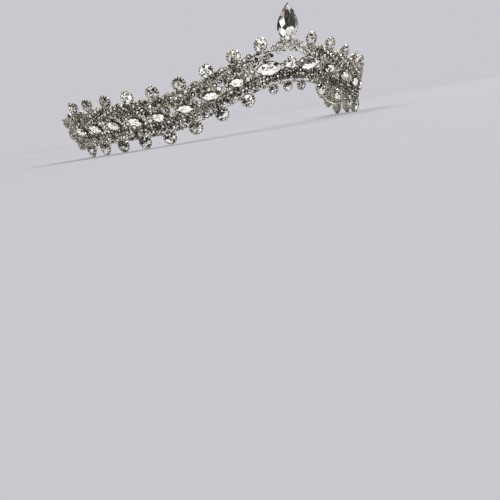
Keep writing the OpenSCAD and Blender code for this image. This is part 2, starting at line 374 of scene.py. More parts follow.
def navetteOutline(length, width, count):
    r = (length**2 + width**2) / (4 * width)
    reach = math.asin(length / 2 / r)
    half = count // 2
    out = []
    for side in (1, -1):
        for i in range(half):
            a = side * reach * (1 - 2 * i / half)
            out.append((r * math.sin(a), side * (r * math.cos(a) - r + width / 2)))
    return np.array(out)


pearPeak = 0.77  # the largest value that sin(a) * sin(a / 2) takes


def pearOutline(width, height, count):  # widest at the origin, a third of the way up
    a = 2 * math.pi * np.arange(count) / count
    x = -width / 2 * np.sin(a) * np.abs(np.sin(a / 2)) / pearPeak
    return np.stack([x, height / 2 * np.cos(a) + height / 6], axis=1)


# Size across, or along and across, height of the crown, depth of the back, and how far out it sits
mainStones = {
    "round": {"outline": roundOutline, "size": (7.0,), "crown": 1.19, "back": 2.38, "n": 2.0},
    "front": {"outline": roundOutline, "size": (5.2,), "crown": 0.88, "back": 1.77, "n": 2.0},
    "end": {"outline": roundOutline, "size": (5.4,), "crown": 0.92, "back": 1.84, "n": 2.0},
    "middle": {"outline": roundOutline, "size": (7.4,), "crown": 1.26, "back": 2.52, "n": 5.0},
    "crest": {"outline": roundOutline, "size": (3.1,), "crown": 0.53, "back": 1.05, "n": 2.6},
    "pear": {"outline": pearOutline, "size": (12.6, 18.0), "crown": 2.2, "back": 3.4, "n": 2.4},
    "frontNavette": {"outline": navetteOutline, "size": (15.4, 7.4), "crown": 1.6, "back": 2.4, "n": 3.6},
    "spine": {"outline": navetteOutline, "size": (9.5, 4.6), "crown": 1.1, "back": 1.7, "n": 3.0},
}
for kind, n in (("crestTop", 4.6), ("crestLow", 2.4)):
    mainStones[kind] = dict(mainStones["crest"], n=n)


def outlineOf(kind, count):
    return mainStones[kind]["outline"](*mainStones[kind]["size"], count)


def atHeight(outline, z):
    return np.column_stack([outline, np.full(len(outline), z)])


# Shares of the outline, of the crown's height and of the back's depth
cut = {
    "corners": 16,
    "table": 0.56,
    "heart": 0.45,
    "star": 0.56,
    "girdle": 0.1,  # in millimetres
    "backRing": 0.5,
    "backDepth": 0.6,
    "facets": 12,  # for each pair of corners, from the middle of the table to the tip of the back
    "tableFacets": 3,  # in the table
    "topFacets": 5,  # in the table or touching it
    "crownFacets": 7,  # over the girdle
}


def brilliantCut(kind):
    count = cut["corners"]
    half = count // 2
    ring = outlineOf(kind, count)
    crown, back, odd = mainStones[kind]["crown"], mainStones[kind]["back"], ring[1::2]
    points = np.vstack([
        atHeight(ring[0::2] * cut["table"], crown),
        atHeight(odd * (cut["table"] + 1) / 2, cut["star"] * crown),
        atHeight(ring, cut["girdle"]),
        atHeight(ring, 0.0),
        atHeight(odd * cut["backRing"], -cut["backDepth"] * back),
        [(0, 0, -back)],
        atHeight(odd * cut["table"] * cut["heart"], crown),
        [(0, 0, crown)],
    ])
    tableAt, starAt, rimAt, lowRimAt, backAt = 0, half, count, 2 * count, 3 * count
    tipAt = backAt + half
    heartAt = tipAt + 1
    middle = heartAt + half
    faces = []
    for i in range(half):
        j, k, h = (i + 1) % half, (2 * i + 2) % count, (i - 1) % half
        faces += [
            (heartAt + i, heartAt + j, middle),  # the back facets as they show through the table
            (tableAt + i, heartAt + i, heartAt + h),
            (tableAt + i, tableAt + j, heartAt + i),
            (tableAt + i, starAt + i, tableAt + j),
            (tableAt + i, starAt + h, rimAt + 2 * i, starAt + i),
            (starAt + i, rimAt + 2 * i, rimAt + 2 * i + 1),
            (starAt + i, rimAt + 2 * i + 1, rimAt + k),
            (lowRimAt + 2 * i, lowRimAt + 2 * i + 1, rimAt + 2 * i + 1, rimAt + 2 * i),
            (lowRimAt + 2 * i + 1, lowRimAt + k, rimAt + k, rimAt + 2 * i + 1),
            (lowRimAt + 2 * i, backAt + h, tipAt, backAt + i),
            (lowRimAt + 2 * i, backAt + i, lowRimAt + 2 * i + 1),
            (lowRimAt + 2 * i + 1, backAt + i, lowRimAt + k),
        ]
    return points, faces


# Shares of dark, grey and white facets, painted reflections: in the heart of the table, round it, and on
# the crown
sparkle = {
    "heart": (0.5, 0.3, 0.2),
    "table": (0.2, 0.25, 0.55),
    "crown": (0.3, 0.2, 0.5),
}
toneRanges = ((0.0, 0.25), (0.35, 0.6), (0.75, 1.0))
# each stone's painted reflections are shifted darker or lighter by a random amount in its kind's range
moods = {"round": (-0.22, 0.08), "front": (-0.2, 0.05), "end": (-0.25, 0.0), "spine": (-0.1, 0.1)}
# Painted reflections: tones, or shares of them, where a stone's place settles what its facets pick up
play = {
    "low": {"under": 1.0, "share": 0.5, "light": (0.75, 1.0), "dark": (0.0, 0.4)},
    "pear": {
        "foot": -0.2,
        "tip": 8.6,
        "half": 2.9,
        "light": (0.8, 1.0),
        "dark": (0.0, 0.32),
        "sides": (0.35, 0.25, 0.4),
    },
    "navette": {"light": (0.8, 1.0), "right": (0.1, 0.5), "left": (0.2, 0.35, 0.45)},
    "crestTop": {"light": (0.6, 1.0)},
    "spine": {"light": (0.82, 1.0), "left": 0.8, "right": 0.4},
}


# a facet's painted reflection, dark, grey or white by the given shares
def facetTone(shares):
    low, high = chance.choices(toneRanges, weights=shares)[0]
    return chance.uniform(low, high)


def settledTone(kind, s, t, part, x, y):  # the painted reflection that a stone's place settles for a facet, None where the tone stays as drawn
    onCrown, onTop = part < cut["crownFacets"], part < cut["topFacets"]
    if kind in ("round", "front"):  # the lower stones, with painted reflections, lighter below
        look = play["low"]
        if t < look["under"] and onCrown and chance.random() < look["share"]:
            return chance.uniform(*look["light" if y < 0 else "dark"])
    if kind == "pear" and onCrown:  # painted reflections: long dark facets between a white tip and a white foot
        look = play["pear"]
        if y < look["foot"] or y > look["tip"]:
            return chance.uniform(*look["light"])
        return chance.uniform(*look["dark"]) if abs(x) < look["half"] else facetTone(look["sides"])
    if kind == "frontNavette" and onTop:  # painted reflections: white below, and the left one is lighter above
        look = play["navette"]
        above = chance.uniform(*look["right"]) if s > 0 else facetTone(look["left"])
        return chance.uniform(*look["light"]) if y < 0 else above
    # painted reflections: the top crest stone is light all over
    if kind == "crestTop":
        return chance.uniform(*play["crestTop"]["light"])
    # painted reflections: light crowns on some small navettes, more of them on the left
    if kind == "spine" and onTop and chance.random() < play["spine"]["right" if s > 0 else "left"]:
        return chance.uniform(*play["spine"]["light"])
    return None


def stoneShape(kind, s, t):
    points, faces = brilliantCut(kind)
    mood = chance.uniform(*moods.get(kind, (0.0, 0.0)))
    tones = []
    for f, face in enumerate(faces):
        part = f % cut["facets"]
        x, y = points[list(face)].mean(axis=0)[:2]
        region = "heart" if part == 0 else "table" if part < cut["tableFacets"] else "crown"
        tone = facetTone(sparkle[region]) + mood
        settled = settledTone(kind, s, t, part, x, y)
        tones.append(min(max(tone if settled is None else settled, 0.0), 1.0))
    return Shape().add(points, faces, tones)


frontStones = {
    "pearT": 33.2,
    "middleT": 12.9,
    "lowPitch": 9.0,
    "lowT": 0.4,
    "navetteS": 11.8,
    "navetteT": 12.9,
    "navetteTurn": math.radians(7.0),
    "crest": [
        ("crestTop", 1.7, 27.6),
        ("crest", 1.8, 24.9),
        ("crest", 5.3, 24.1),
        ("crest", 8.3, 22.8),
        ("crestLow", 2.0, 21.5),
        ("crestLow", 5.5, 20.8),
    ],
}
spineRow = {"first": 29.0, "pitch": 14.3, "t": 12.4, "turn": math.radians(20.0), "count": 8}
endRow = {"shares": (0.25, 0.5, 0.74), "offset": 1.7, "step": 0.01}


def endPlace(share):  # beside the loop that closes the end of the band
    corners, step = rail["endCorners"], endRow["step"]
    ahead = bezier(corners, share + step) - bezier(corners, share - step)
    ahead = ahead / np.linalg.norm(ahead)
    return bezier(corners, share) + endRow["offset"] * np.array([ahead[1], -ahead[0]])


def placeStones():  # kind, s, t and turn of the stones of each node
    places = {
        "pear_stone": [("pear", 0.0, frontStones["pearT"], 0.0)],
        "center_stone": [("middle", 0.0, frontStones["middleT"], 0.0)],
    }
    crest = [(kind, side * s, t, 0.0) for side in sideNames for kind, s, t in frontStones["crest"]]
    places["crest_stones"] = crest
    for k, name in ((-1, "left"), (0, "center"), (1, "right")):
        s = k * frontStones["lowPitch"]
        places[f"lower_stone_front_{name}"] = [("front", s, frontStones["lowT"], 0.0)]
    for side, name in sideNames.items():
        s, turn = side * frontStones["navetteS"], side * frontStones["navetteTurn"]
        places[f"front_navette_{name}"] = [("frontNavette", s, frontStones["navetteT"], turn)]
        for i in range(1, upperRow["count"] + 1):
            places[f"upper_stone_{name}_{i}"] = [("round", side * upperAt(i), upperRow["t"], 0.0)]
        for i in range(1, lowerRow["count"] + 1):
            places[f"lower_stone_{name}_{i}"] = [("round", side * lowerAt(i), lowerRow["t"], 0.0)]
        spine = [side * (spineRow["first"] + spineRow["pitch"] * i) for i in range(spineRow["count"])]
        turn = side * spineRow["turn"]
        places[f"spine_stones_{name}"] = [("spine", s, spineRow["t"], turn) for s in spine]
        ends = [endPlace(share) for share in endRow["shares"]]
        places[f"end_stones_{name}"] = [("end", side * s, t, 0.0) for s, t in ends]
    return places


stonePlaces = placeStones()
for node, places in stonePlaces.items():
    pile = Pile()
    for kind, s, t, turn in places:
        pile.stamp(stoneShape(kind, s, t), s, t, mainStones[kind]["n"], turn)
    pile.make(pieceNameOf(node), crystal, "crystal", None, (node,))

print("Tiara: drawing the wires")

wire = {
    "radius": {"rail": 0.5, "bar": 0.42, "leaf": 0.38, "scallop": 0.38},
    # painted light and shade of the one silver: the rails, loops and scallops lighter, the bars darker
    "tone": {"rail": 0.8, "bar": 0.5, "leaf": 0.8, "scallop": 0.8},
    "sides": 10,
    "endReach": 0.6,  # shares of the radius at a rounded end
    "endSize": 0.65,
    "smoothAngle": 40,  # in degrees
}


def drawWire(pile, path, kind, closed=False):
    radius = wire["radius"][kind]
    path = np.asarray(path, float)
    ahead = np.roll(path, -1, axis=0) - np.roll(path, 1, axis=0)
    if not closed:
        ahead[0], ahead[-1] = path[1] - path[0], path[-1] - path[-2]
    ahead /= np.linalg.norm(ahead, axis=1)[:, None]
    out = path[0] - np.array([0, band["originBack"], path[0][2]])
    rings = []
    angle = 2 * math.pi * np.arange(wire["sides"]) / wire["sides"]
    for point, along in zip(path, ahead):
        out = out - (out @ along) * along
        out = out / np.linalg.norm(out)
        across = np.cross(along, out)
        rings.append(point + radius * (np.cos(angle)[:, None] * out + np.sin(angle)[:, None] * across))
    if closed:
        rings.append(rings[0])
    else:
        reach, size = wire["endReach"] * radius, wire["endSize"]
        rings.insert(0, path[0] - reach * ahead[0] + size * (rings[0] - path[0]))
        rings.append(path[-1] + reach * ahead[-1] + size * (rings[-1] - path[-1]))
    pile.add(Shape().rings(rings, [wire["tone"][kind]] * len(rings), not closed))


def bothSides(half):  # a path from the left end over the middle to the right end
    return bandPath(np.vstack([half[:0:-1] * (-1, 1), half]), 0)


rails = {"step": 3.0, "endSteps": 22, "upperFrom": 14.0}


def drawRails(pile):
    corners, step = rail["endCorners"], rails["step"]
    half = [(s, rail["lower"]) for s in np.arange(0, corners[0][0], step)]
    half += list(bezier(corners, np.linspace(0, 1, rails["endSteps"])))
    half += [(s, rail["upper"]) for s in np.arange(corners[3][0] - step, rails["upperFrom"], -step)]
    half += [(rail["archMeet"], float(archAt(rail["archMeet"])))]
    drawWire(pile, bothSides(np.array(half)), "rail")


arch = {"steps": 16, "leg": [(19.0, 15.2), (29.0, 12.0), (35.2, 2.4)], "legSteps": 5}
crossBar = {"reach": 28, "t": 12.9, "steps": 40}


def drawArch(pile):
    spread = np.linspace(0, rail["archHalf"], arch["steps"])
    leg = smoothPath(arch["leg"], arch["legSteps"])[1:]
    drawWire(pile, bothSides(np.vstack([np.column_stack([spread, archAt(spread)]), leg])), "rail")
    cross = np.linspace(-crossBar["reach"], crossBar["reach"], crossBar["steps"])
    drawWire(pile, bandPath(np.column_stack([cross, np.full(crossBar["steps"], crossBar["t"])]), 0), "bar")


feather = {"foot": (27.2, 16.6), "top": (5.0, 23.8), "bow": 0.85, "count": 8}


def featherPlace(i, u):  # along the slanting row that rises to the i-th upper stone
    u = np.asarray(u, float)
    (footS, footT), (topS, topT) = feather["foot"], feather["top"]
    s = upperAt(i) + footS + (topS - footS) * u
    t = topT - (topT - footT) * (1 - u) ** feather["bow"]
    return np.stack([s, t], axis=-1)


bar = {
    "foot": 34.5,
    "knee": (29.1, 12.0),
    "bend": (15.3, 19.3),
    "top": 1.6,
    "steps": 6,
    "loopShare": 0.5,  # how far round the loop the last one ends
}


def drawBar(pile, side, i):  # the diagonal bar behind a slanting row
    s = upperAt(i)
    foot = (s + bar["foot"], rail["lower"])
    if i == feather["count"]:
        foot = bezier(rail["endCorners"], bar["loopShare"])
    knee, bend = (s + bar["knee"][0], bar["knee"][1]), (s + bar["bend"][0], bar["bend"][1])
    corners = [foot, knee, featherPlace(i, 0.0), bend, (s + bar["top"], rail["upper"])]
    drawWire(pile, bandPath(smoothPath(corners, bar["steps"]) * (side, 1), 0), "bar")


post = {"top": 24.6, "pearFoot": 2.6, "pearTop": 3.4}


def drawPosts(pile, side):
    for i in range(1, upperRow["count"] + 1):
        s = side * upperAt(i)
        drawWire(pile, bandPath([(s, rail["upper"]), (s, post["top"])], 0), "rail")
    foot = (side * post["pearFoot"], float(archAt(post["pearFoot"])))
    drawWire(pile, bandPath([foot, (side * post["pearTop"], frontStones["pearT"])], 0), "rail")


leaf = {"length": 12.0, "width": 6.0, "n": 1.3, "steps": 24}


def drawLeaf(pile, s, t, turn):  # the pointed loop round a small navette
    loop = navetteOutline(leaf["length"], leaf["width"], leaf["steps"])
    c, d = math.cos(turn), math.sin(turn)
    loop = np.column_stack([s + c * loop[:, 0] - d * loop[:, 1], t + d * loop[:, 0] + c * loop[:, 1]])
    drawWire(pile, bandPath(loop, leaf["n"]), "leaf", closed=True)


scallop = {
    "first": 84.0,
    "last": 137.0,
    "low": 4.6,
    "high": 5.9,
    "over": 5,  # the wave is high over this lower stone, and so over each
    "n": 1.2,
    "steps": 60,
}


def drawScallops(pile, side):  # the wave over the last lower stones
    s = np.linspace(scallop["first"], scallop["last"], scallop["steps"])
    wave = np.abs(np.sin(math.pi * (s - lowerAt(scallop["over"])) / lowerRow["pitch"]))
    t = scallop["high"] - (scallop["high"] - scallop["low"]) * wave
    drawWire(pile, bandPath(np.column_stack([side * s, t]), scallop["n"]), "scallop")


wires = Pile()
drawRails(wires)
drawArch(wires)
for side, name in sideNames.items():
    for i in range(1, feather["count"] + 1):
        drawBar(wires, side, i)
    drawPosts(wires, side)
    for _, s, t, turn in stonePlaces[f"spine_stones_{name}"]:
        drawLeaf(wires, s, t, turn)
    drawScallops(wires, side)
wires.make("solderedWires", silver, "silver_metal", wire["smoothAngle"], ("frame",))

print("Tiara: raising the claw cups")

# Rings of a cup from its inside over the rim to its foot, as distance out from the stone's edge
# and height over it: where a tooth stands, and between teeth. The foot has shares of the outline
# and of the depth.
cupRings = {
    "tooth": [(-0.35, -0.75), (0.04, -0.12), (-0.3, 0.48), (0.1, 0.6), (0.46, 0.14), (0.45, -0.5)],
    "between": [(-0.35, -0.75), (0.04, -0.12), (0.1, -0.02), (0.26, -0.05), (0.34, -0.2), (0.45, -0.5)],
    "foot": [(0.84, 0.5), (0.5, 1.0)],
    "smoothAngle": 35,  # in degrees
    # painted light and shade: dark inside the cup and between the teeth, light on the teeth, grey on the
    # foot
    "toothPaintedLight": (0.1, 0.6, 1.0, 1.0, 0.6),
    "betweenPaintedShade": (0.05, 0.1, 0.0, 0.05, 0.3),
    "footTone": (0.45, 0.6),
}
# A round cup has three corners for each tooth and one between. The others say which carry one.
cupKinds = {
    "round": {"corners": 56, "depth": 3.2, "size": 1.0},
    "front": {"corners": 48, "depth": 2.6, "size": 0.85},
    "end": {"corners": 48, "depth": 2.7, "size": 0.85},
    "middle": {"corners": 56, "depth": 4.9, "size": 1.3},
    "crest": {"corners": 24, "depth": 2.5, "size": 0.55},
    "pear": {
        "corners": 54,
        "depth": 4.2,
        "size": 1.04,
        "teeth": (53, 0, 1, 9, 10, 11, 18, 19, 20, 27, 34, 35, 36, 43, 44, 45),
    },
    "frontNavette": {
        "corners": 40,
        "depth": 3.5,
        "size": 1.0,
        "teeth": (39, 0, 1, 6, 7, 13, 14, 19, 20, 21, 26, 27, 33, 34),
    },
    "spine": {
        "corners": 28,
        "depth": 2.9,
        "size": 0.8,
        "teeth": (27, 0, 1, 4, 5, 9, 10, 13, 14, 15, 18, 19, 23, 24),
    },
}
# the seat's tones are painted light, like those of the cups
leafSeat = {"thick": 0.3, "n": 0.9, "tone": 0.6, "capTones": (0.62, 0.62)}


def grown(ring, by):
    return ring * (1 + np.broadcast_to(by, len(ring)) / np.linalg.norm(ring, axis=1))[:, None]


def toothedCup(kind):
    count, depth, size = (cupKinds[kind][word] for word in ("corners", "depth", "size"))
    ring = outlineOf(kind, count)
    teeth = cupKinds[kind].get("teeth") or [k for k in range(count) if k % 4 != 3]
    stands = np.array([k in teeth for k in range(count)])
    rings = []
    for (toothOut, toothUp), (out, up) in zip(cupRings["tooth"], cupRings["between"]):
        level = grown(ring, size * np.where(stands, toothOut, out))
        rings.append(np.column_stack([level, size * np.where(stands, toothUp, up)]))
    rings += [atHeight(ring * share, -drop * depth) for share, drop in cupRings["foot"]]
    near = stands & np.roll(stands, -1)
    pairs = zip(cupRings["toothPaintedLight"], cupRings["betweenPaintedShade"])
    tones = [list(np.where(near, tooth, between)) for tooth, between in pairs]
    tones += [[tone] * count for tone in cupRings["footTone"]]
    return Shape().rings(rings, tones)


cupShapes = {kind: toothedCup(kind) for kind in cupKinds}
cupShapes["crestTop"] = cupShapes["crestLow"] = cupShapes["crest"]
cups = Pile()
for places in stonePlaces.values():
    for kind, s, t, turn in places:
        cups.stamp(cupShapes[kind], s, t, mainStones[kind]["n"], turn)
seatOutline = navetteOutline(leaf["length"], leaf["width"], leaf["steps"])
seatRings = [atHeight(seatOutline, 0.0), atHeight(seatOutline, leafSeat["thick"])]
seatShape = Shape().rings(seatRings, [leafSeat["tone"]], capTones=leafSeat["capTones"])
for name in sideNames.values():  # a thin seat under each small navette, out to its loop
    for _, s, t, turn in stonePlaces[f"spine_stones_{name}"]:
        cups.stamp(seatShape, s, t, leafSeat["n"], turn)
cups.make("clawCups", silver, "silver_metal", cupRings["smoothAngle"])

print("Tiara: stringing the rows of small stones")

# Small cups and their stones, for a cup of radius 1. The cups' tones are painted light and shade, dark
# inside, and the stones' shares are painted reflections
cupStyles = {
    "set": {
        "sides": 12,
        "profile": ((0.70, -0.1), (0.76, 0.34), (0.86, 0.44), (0.99, 0.26), (0.95, -0.35), (0.6, -0.8)),
        "tones": (0.04, 0.3, 0.65, 0.8, 0.5),
        "stone": 0.78,
        "shares": (0.3, 0.24, 0.46),
    },
    "seed": {
        "sides": 8,
        "profile": ((0.74, 0.0), (0.84, 0.36), (1.0, 0.05), (0.7, -0.7)),
        "tones": (0.1, 0.3, 0.6),
        "stone": 0.78,
        "shares": (0.28, 0.3, 0.42),
    },
}
smallCut = {
    "sides": 8,
    "table": 0.5,
    "crown": 0.3,
    "lift": 0.1,
    "back": 0.5,
    "jitter": 0.12,
    "tilt": 14.0,  # at most, in degrees
    # painted reflections: some stones mostly dark, some all flashing white
    "dull": (0.6, 0.35, 0.05),
    "dimReflectionShare": 0.25,
    "flash": (0.74, 1.0),
    "flashShare": 0.27,
}
cupPiles = {"set": Pile(), "seed": Pile()}
rowNodes = ("feather_rows_left", "feather_rows_right", "arch_rows", "edge_rows")
rowStones = {name: Pile() for name in (*rowNodes, "packed_stones")}
taken = []  # s, t and radius of what already has its place on the band


def ringCup(radius, style):
    circle = roundOutline(2 * radius, style["sides"])
    rings = [atHeight(circle * out, radius * up) for out, up in style["profile"]]
    return Shape().rings(rings, list(style["tones"]))


def smallStone(radius, style):
    count = smallCut["sides"]
    ring = roundOutline(2 * radius * style["stone"], count)
    top = radius * (smallCut["lift"] + smallCut["crown"])
    points = np.vstack([
        atHeight(ring * smallCut["table"], top),
        atHeight(ring, radius * smallCut["lift"]),
        [(0, 0, -smallCut["back"] * radius), (0, 0, top)],
    ])
    faces = []
    for k in range(count):
        j = (k + 1) % count
        rim, nextRim = count + k, count + j
        faces += [(k, j, 2 * count + 1), (k, rim, nextRim, j), (nextRim, rim, 2 * count)]
    # painted reflections: the stone flashes white, stays dim, or takes its style's shares
    luck = chance.random()
    if luck < smallCut["flashShare"]:
        return Shape().add(points, faces, [chance.uniform(*smallCut["flash"]) for _ in faces])
    shares = smallCut["dull"] if luck > 1 - smallCut["dimReflectionShare"] else style["shares"]
    return Shape().add(points, faces, [facetTone(shares) for _ in faces])


def setStone(node, s, t, n, radius, style):
    place = onBand(s, t, n + chance.uniform(-smallCut["jitter"], smallCut["jitter"]))
    axes = bandAxes(s, chance.uniform(0, math.pi / 4))
    for axis in "XY":  # no two sit quite the same way
        tilt = chance.uniform(-smallCut["tilt"], smallCut["tilt"])
        axes = axes @ turnAbout(axis, math.radians(tilt))
    cupPiles[style].add(ringCup(radius, cupStyles[style]), place, axes)
    rowStones[node].add(smallStone(radius, cupStyles[style]), place, axes)
    taken.append((s, t, radius))


def setRow(node, path, row):
    for s, t in evenlyAlong(np.asarray(path, float), row["pitch"]):
        setStone(node, s, t, row["n"], row["radius"], row["style"])


# Strips of painted shade under the rows, in tones between dark and light, that darken the gaps between the
# stones
gapShade = {"n": 1.1, "thick": 0.3, "dark": 0.5, "light": 0.76}


def layGapShade(path, width):  # a flat strip of painted shade under a row of cups, kept with the seed cups
    path = np.asarray(path, float)
    ahead = np.gradient(path, axis=0)
    across = np.column_stack([-ahead[:, 1], ahead[:, 0]]) / np.linalg.norm(ahead, axis=1)[:, None]
    across = across * width / 2
    low, high = gapShade["n"] - gapShade["thick"], gapShade["n"]
    corners = [(path - across, low), (path + across, low), (path + across, high), (path - across, high)]
    rings = np.stack([bandPath(place, n) for place, n in corners], axis=1)
    # random tones of painted shade
    tones = [chance.uniform(gapShade["dark"], gapShade["light"]) for _ in path]
    cupPiles["seed"].add(Shape().rings(list(rings), tones))


# Each main stone keeps its own place free: a round one a circle, a long one three along it
room = {"longFrom": 1.5, "tipPart": 3.2, "gap": 0.3}


def keepMainStonesFree():
    for kind, s, t, turn in [place for places in stonePlaces.values() for place in places]:
        if kind == "pear":  # it stands over the rows
            continue
        length, width = np.ptp(outlineOf(kind, cut["corners"]), axis=0)
        for k in (-1, 0, 1) if length > room["longFrom"] * width else (0,):
            along = k * (length - width) / 2
            reach = (width / 2 if k == 0 else width / room["tipPart"]) + room["gap"]
            taken.append((s + along * math.cos(turn), t + along * math.sin(turn), reach))


featherRows = {
    "row": {"n": 2.1, "radius": 1.4, "pitch": 2.85, "style": "set"},
    "steps": 20,
    "gapShadeWidth": 2.8,
    "lastShare": 0.5,  # where the shortened last row starts
    "lastSteps": 9,
    "ends": [((135.4, 14.4), (145.0, 13.4)), ((134.6, 11.2), (144.6, 9.2))],
}
lace = {  # the strip of painted shade below each slanting row, with smaller stones on every other one
    "row": {"n": 1.8, "radius": 0.95, "pitch": 1.9, "style": "seed"},
    "from": 5,
    "drop": 2.4,
    "gapShadeWidth": 2.2,
}


def setFeatherRows(node, flip):
    for i in range(1, feather["count"] + 1):
        path = featherPlace(i, np.linspace(0, 1, featherRows["steps"]))
        setRow(node, path * flip, featherRows["row"])
        layGapShade(path[:-1] * flip, featherRows["gapShadeWidth"])
        lower = path[lace["from"] : -1] - (0, lace["drop"])
        layGapShade(lower * flip, lace["gapShadeWidth"])
        if i % 2:
            setRow(node, lower * flip, lace["row"])
    last = np.linspace(featherRows["lastShare"], 1, featherRows["lastSteps"])
    setRow(node, featherPlace(feather["count"] + 1, last) * flip, featherRows["row"])
    for ends in featherRows["ends"]:
        setRow(node, np.array(ends) * flip, featherRows["row"])


archRows = {
    "inner": [((32.0, 16.8), (15.5, 20.6)), ((27.5, 16.0), (18.0, 17.9))],
    "innerRow": {"n": 2.1, "radius": 1.2, "pitch": 2.45, "style": "set"},
    "under": ((7.6, 19.6), (15.2, 16.6)),
    "underRow": {"n": 1.4, "radius": 1.15, "pitch": 2.35, "style": "set"},
    "on": (15.6, 11.4),
    "onSteps": 12,
}
railTop = {  # the stones that stand along the upper rail
    "row": {"n": 1.6, "radius": 1.2, "pitch": 2.5, "style": "set"},
    "from": 12.5,
    "to": 141.0,
    "rise": 0.9,
    "fall": 0.2,
    "steps": 60,
}


def setArchAndTop(side):
    for ends in archRows["inner"]:
        setRow("arch_rows", np.array(ends) * (side, 1), archRows["innerRow"])
    setRow("arch_rows", np.array(archRows["under"]) * (side, 1), archRows["underRow"])
    s = np.linspace(railTop["from"], railTop["to"], railTop["steps"])
    fall = np.maximum(upperRow["first"] - s, 0) * railTop["fall"]
    t = rail["upper"] - fall + railTop["rise"]
    setRow("packed_stones", np.column_stack([side * s, t]), railTop["row"])
    s = np.linspace(*archRows["on"], archRows["onSteps"])
    setRow("arch_rows", np.column_stack([side * s, archAt(s)]), featherRows["row"])


edge = {  # fine stones along the front and the sides, coarse ones towards the ends
    "n": 1.7,
    "stray": 0.2,
    "coarseFrom": 86.0,
    "coarseTo": 135.0,
    "fine": {"radius": 1.02, "pitch": 2.05, "lines": (4.9, 6.9, 8.9), "style": "seed", "gapShadeLow": 4.3},
    "coarse": {"radius": 1.3, "pitch": 2.6, "lines": (6.9, 9.4), "style": "set", "gapShadeLow": 6.0},
    # the strips of painted shade behind the edge rows reach up to here
    "gapShadeHigh": 10.3,
    "gapShadeStep": 1.0,
    "gapLine": 3.0,
    "gapReach": 3.5,
}
lowerCentres = [0.0, frontStones["lowPitch"]] + [lowerAt(i) for i in range(1, lowerRow["count"] + 1)]


def edgeRow(first, last, line, row, onlyBetween=False):
    for s, t in evenlyAlong(np.array([(first, line), (last, line)]), row["pitch"]):
        nearest = min(abs(abs(s) - centre) for centre in lowerCentres)
        if not onlyBetween or nearest > edge["gapReach"]:
            aside = chance.uniform(-edge["stray"], edge["stray"])
            up = chance.uniform(-edge["stray"], edge["stray"])
            setStone("edge_rows", s + aside, t + up, edge["n"], row["radius"], row["style"])


def setEdgeRows():
    fine, coarse, near, far = edge["fine"], edge["coarse"], edge["coarseFrom"], edge["coarseTo"]
    for line in fine["lines"]:
        edgeRow(-near, near, line, fine)
    edgeRow(-far, far, edge["gapLine"], fine, onlyBetween=True)  # clear of the lower stones
    # strips of painted shade behind the edge rows
    for first, last, row in ((-far, -near, coarse), (-near, near, fine), (near, far, coarse)):
        s = np.arange(first, last + edge["gapShadeStep"] / 2, edge["gapShadeStep"])
        middle = (row["gapShadeLow"] + edge["gapShadeHigh"]) / 2
        layGapShade(np.column_stack([s, np.full(len(s), middle)]), edge["gapShadeHigh"] - row["gapShadeLow"])


# Small stones that fill what is left open between the rows
packing = {
    "sizes": (1.7, 1.4, 1.1, 0.85, 0.65),
    "tries": 7000,
    "overlap": 0.32,
    "n": (1.2, 1.8),
    "seedUnder": 0.8,
    "low": 10.0,
    "high": 22.9,
    "end": 147.0,
    "archTo": 21.0,
    "archFrom": 9.0,
    "overArch": 3.0,
    "underArch": 0.4,
    "overRail": 1.0,
    "tipFrom": 17.5,  # beside the outer tips of the front navettes
    "tipHigh": 12.6,
    "coarseLow": 4.4,
    "loopFrom": 130.0,
    "loopMiddle": 12.5,
    "loopCurve": 13.0,
}


def canPack(s, t):
    a = abs(s)
    if a < packing["archTo"]:  # nothing in the open window under the arch
        besideTip = a > packing["tipFrom"] and packing["low"] < t < packing["tipHigh"]
        top = min(rail["upper"] + packing["overRail"], archAt(a) + packing["overArch"])
        return besideTip or (archAt(a) - packing["underArch"] < t < top and a > packing["archFrom"])
    if a > packing["loopFrom"]:  # inside the loop of the end
        limit = packing["end"] - (t - packing["loopMiddle"]) ** 2 / packing["loopCurve"]
        return rail["lower"] < t < rail["upper"] and a < limit
    if a > edge["coarseFrom"] and t < packing["low"]:
        return t > packing["coarseLow"]
    return packing["low"] < t < packing["high"]


def packStones():
    for size in packing["sizes"]:
        style = "set" if size > packing["seedUnder"] else "seed"
        for _ in range(packing["tries"]):
            s = chance.uniform(-packing["end"], packing["end"])
            t = chance.uniform(rail["lower"], packing["high"])
            if not canPack(s, t):
                continue
            near = np.array(taken)
            free = np.hypot(near[:, 0] - s, near[:, 1] - t) - near[:, 2]
            if free.min() > size - packing["overlap"]:
                setStone("packed_stones", s, t, chance.uniform(*packing["n"]), size, style)


keepMainStonesFree()
for side, name in sideNames.items():
    setFeatherRows(f"feather_rows_{name}", (side, 1))
    setArchAndTop(side)
    for line in edge["coarse"]["lines"]:
        edgeRow(side * edge["coarseFrom"], side * edge["coarseTo"], line, edge["coarse"])
setEdgeRows()
packStones()
for node, pile in rowStones.items():
    pile.make(pieceNameOf(node), smallCrystal, "stone_rows", None, (node,) if node in rowNodes else ())
cupPiles["set"].make("rowCups", silver, "silver_metal", cupRings["smoothAngle"])
cupPiles["seed"].make("seedCups", silver, "silver_metal", cupRings["smoothAngle"])

print("Tiara: floor, light and camera")

stage = {  # its size in metres
    "near": (0.58, 0.585, 0.642),
    # painted light that makes up for the lamps far away
    "far": (0.89, 0.897, 0.982),
    "fade": (0.13, 0.5),  # shares of the size
    "size": 6.0,
    "corners": 96,
    "cloud": {"Scale": 3.0, "Detail": 2.0},
    "cloudShare": 0.02,
    "roughness": 0.9,
    "gloss": 0.1,
    "world": (0.585, 0.58, 0.62),
}


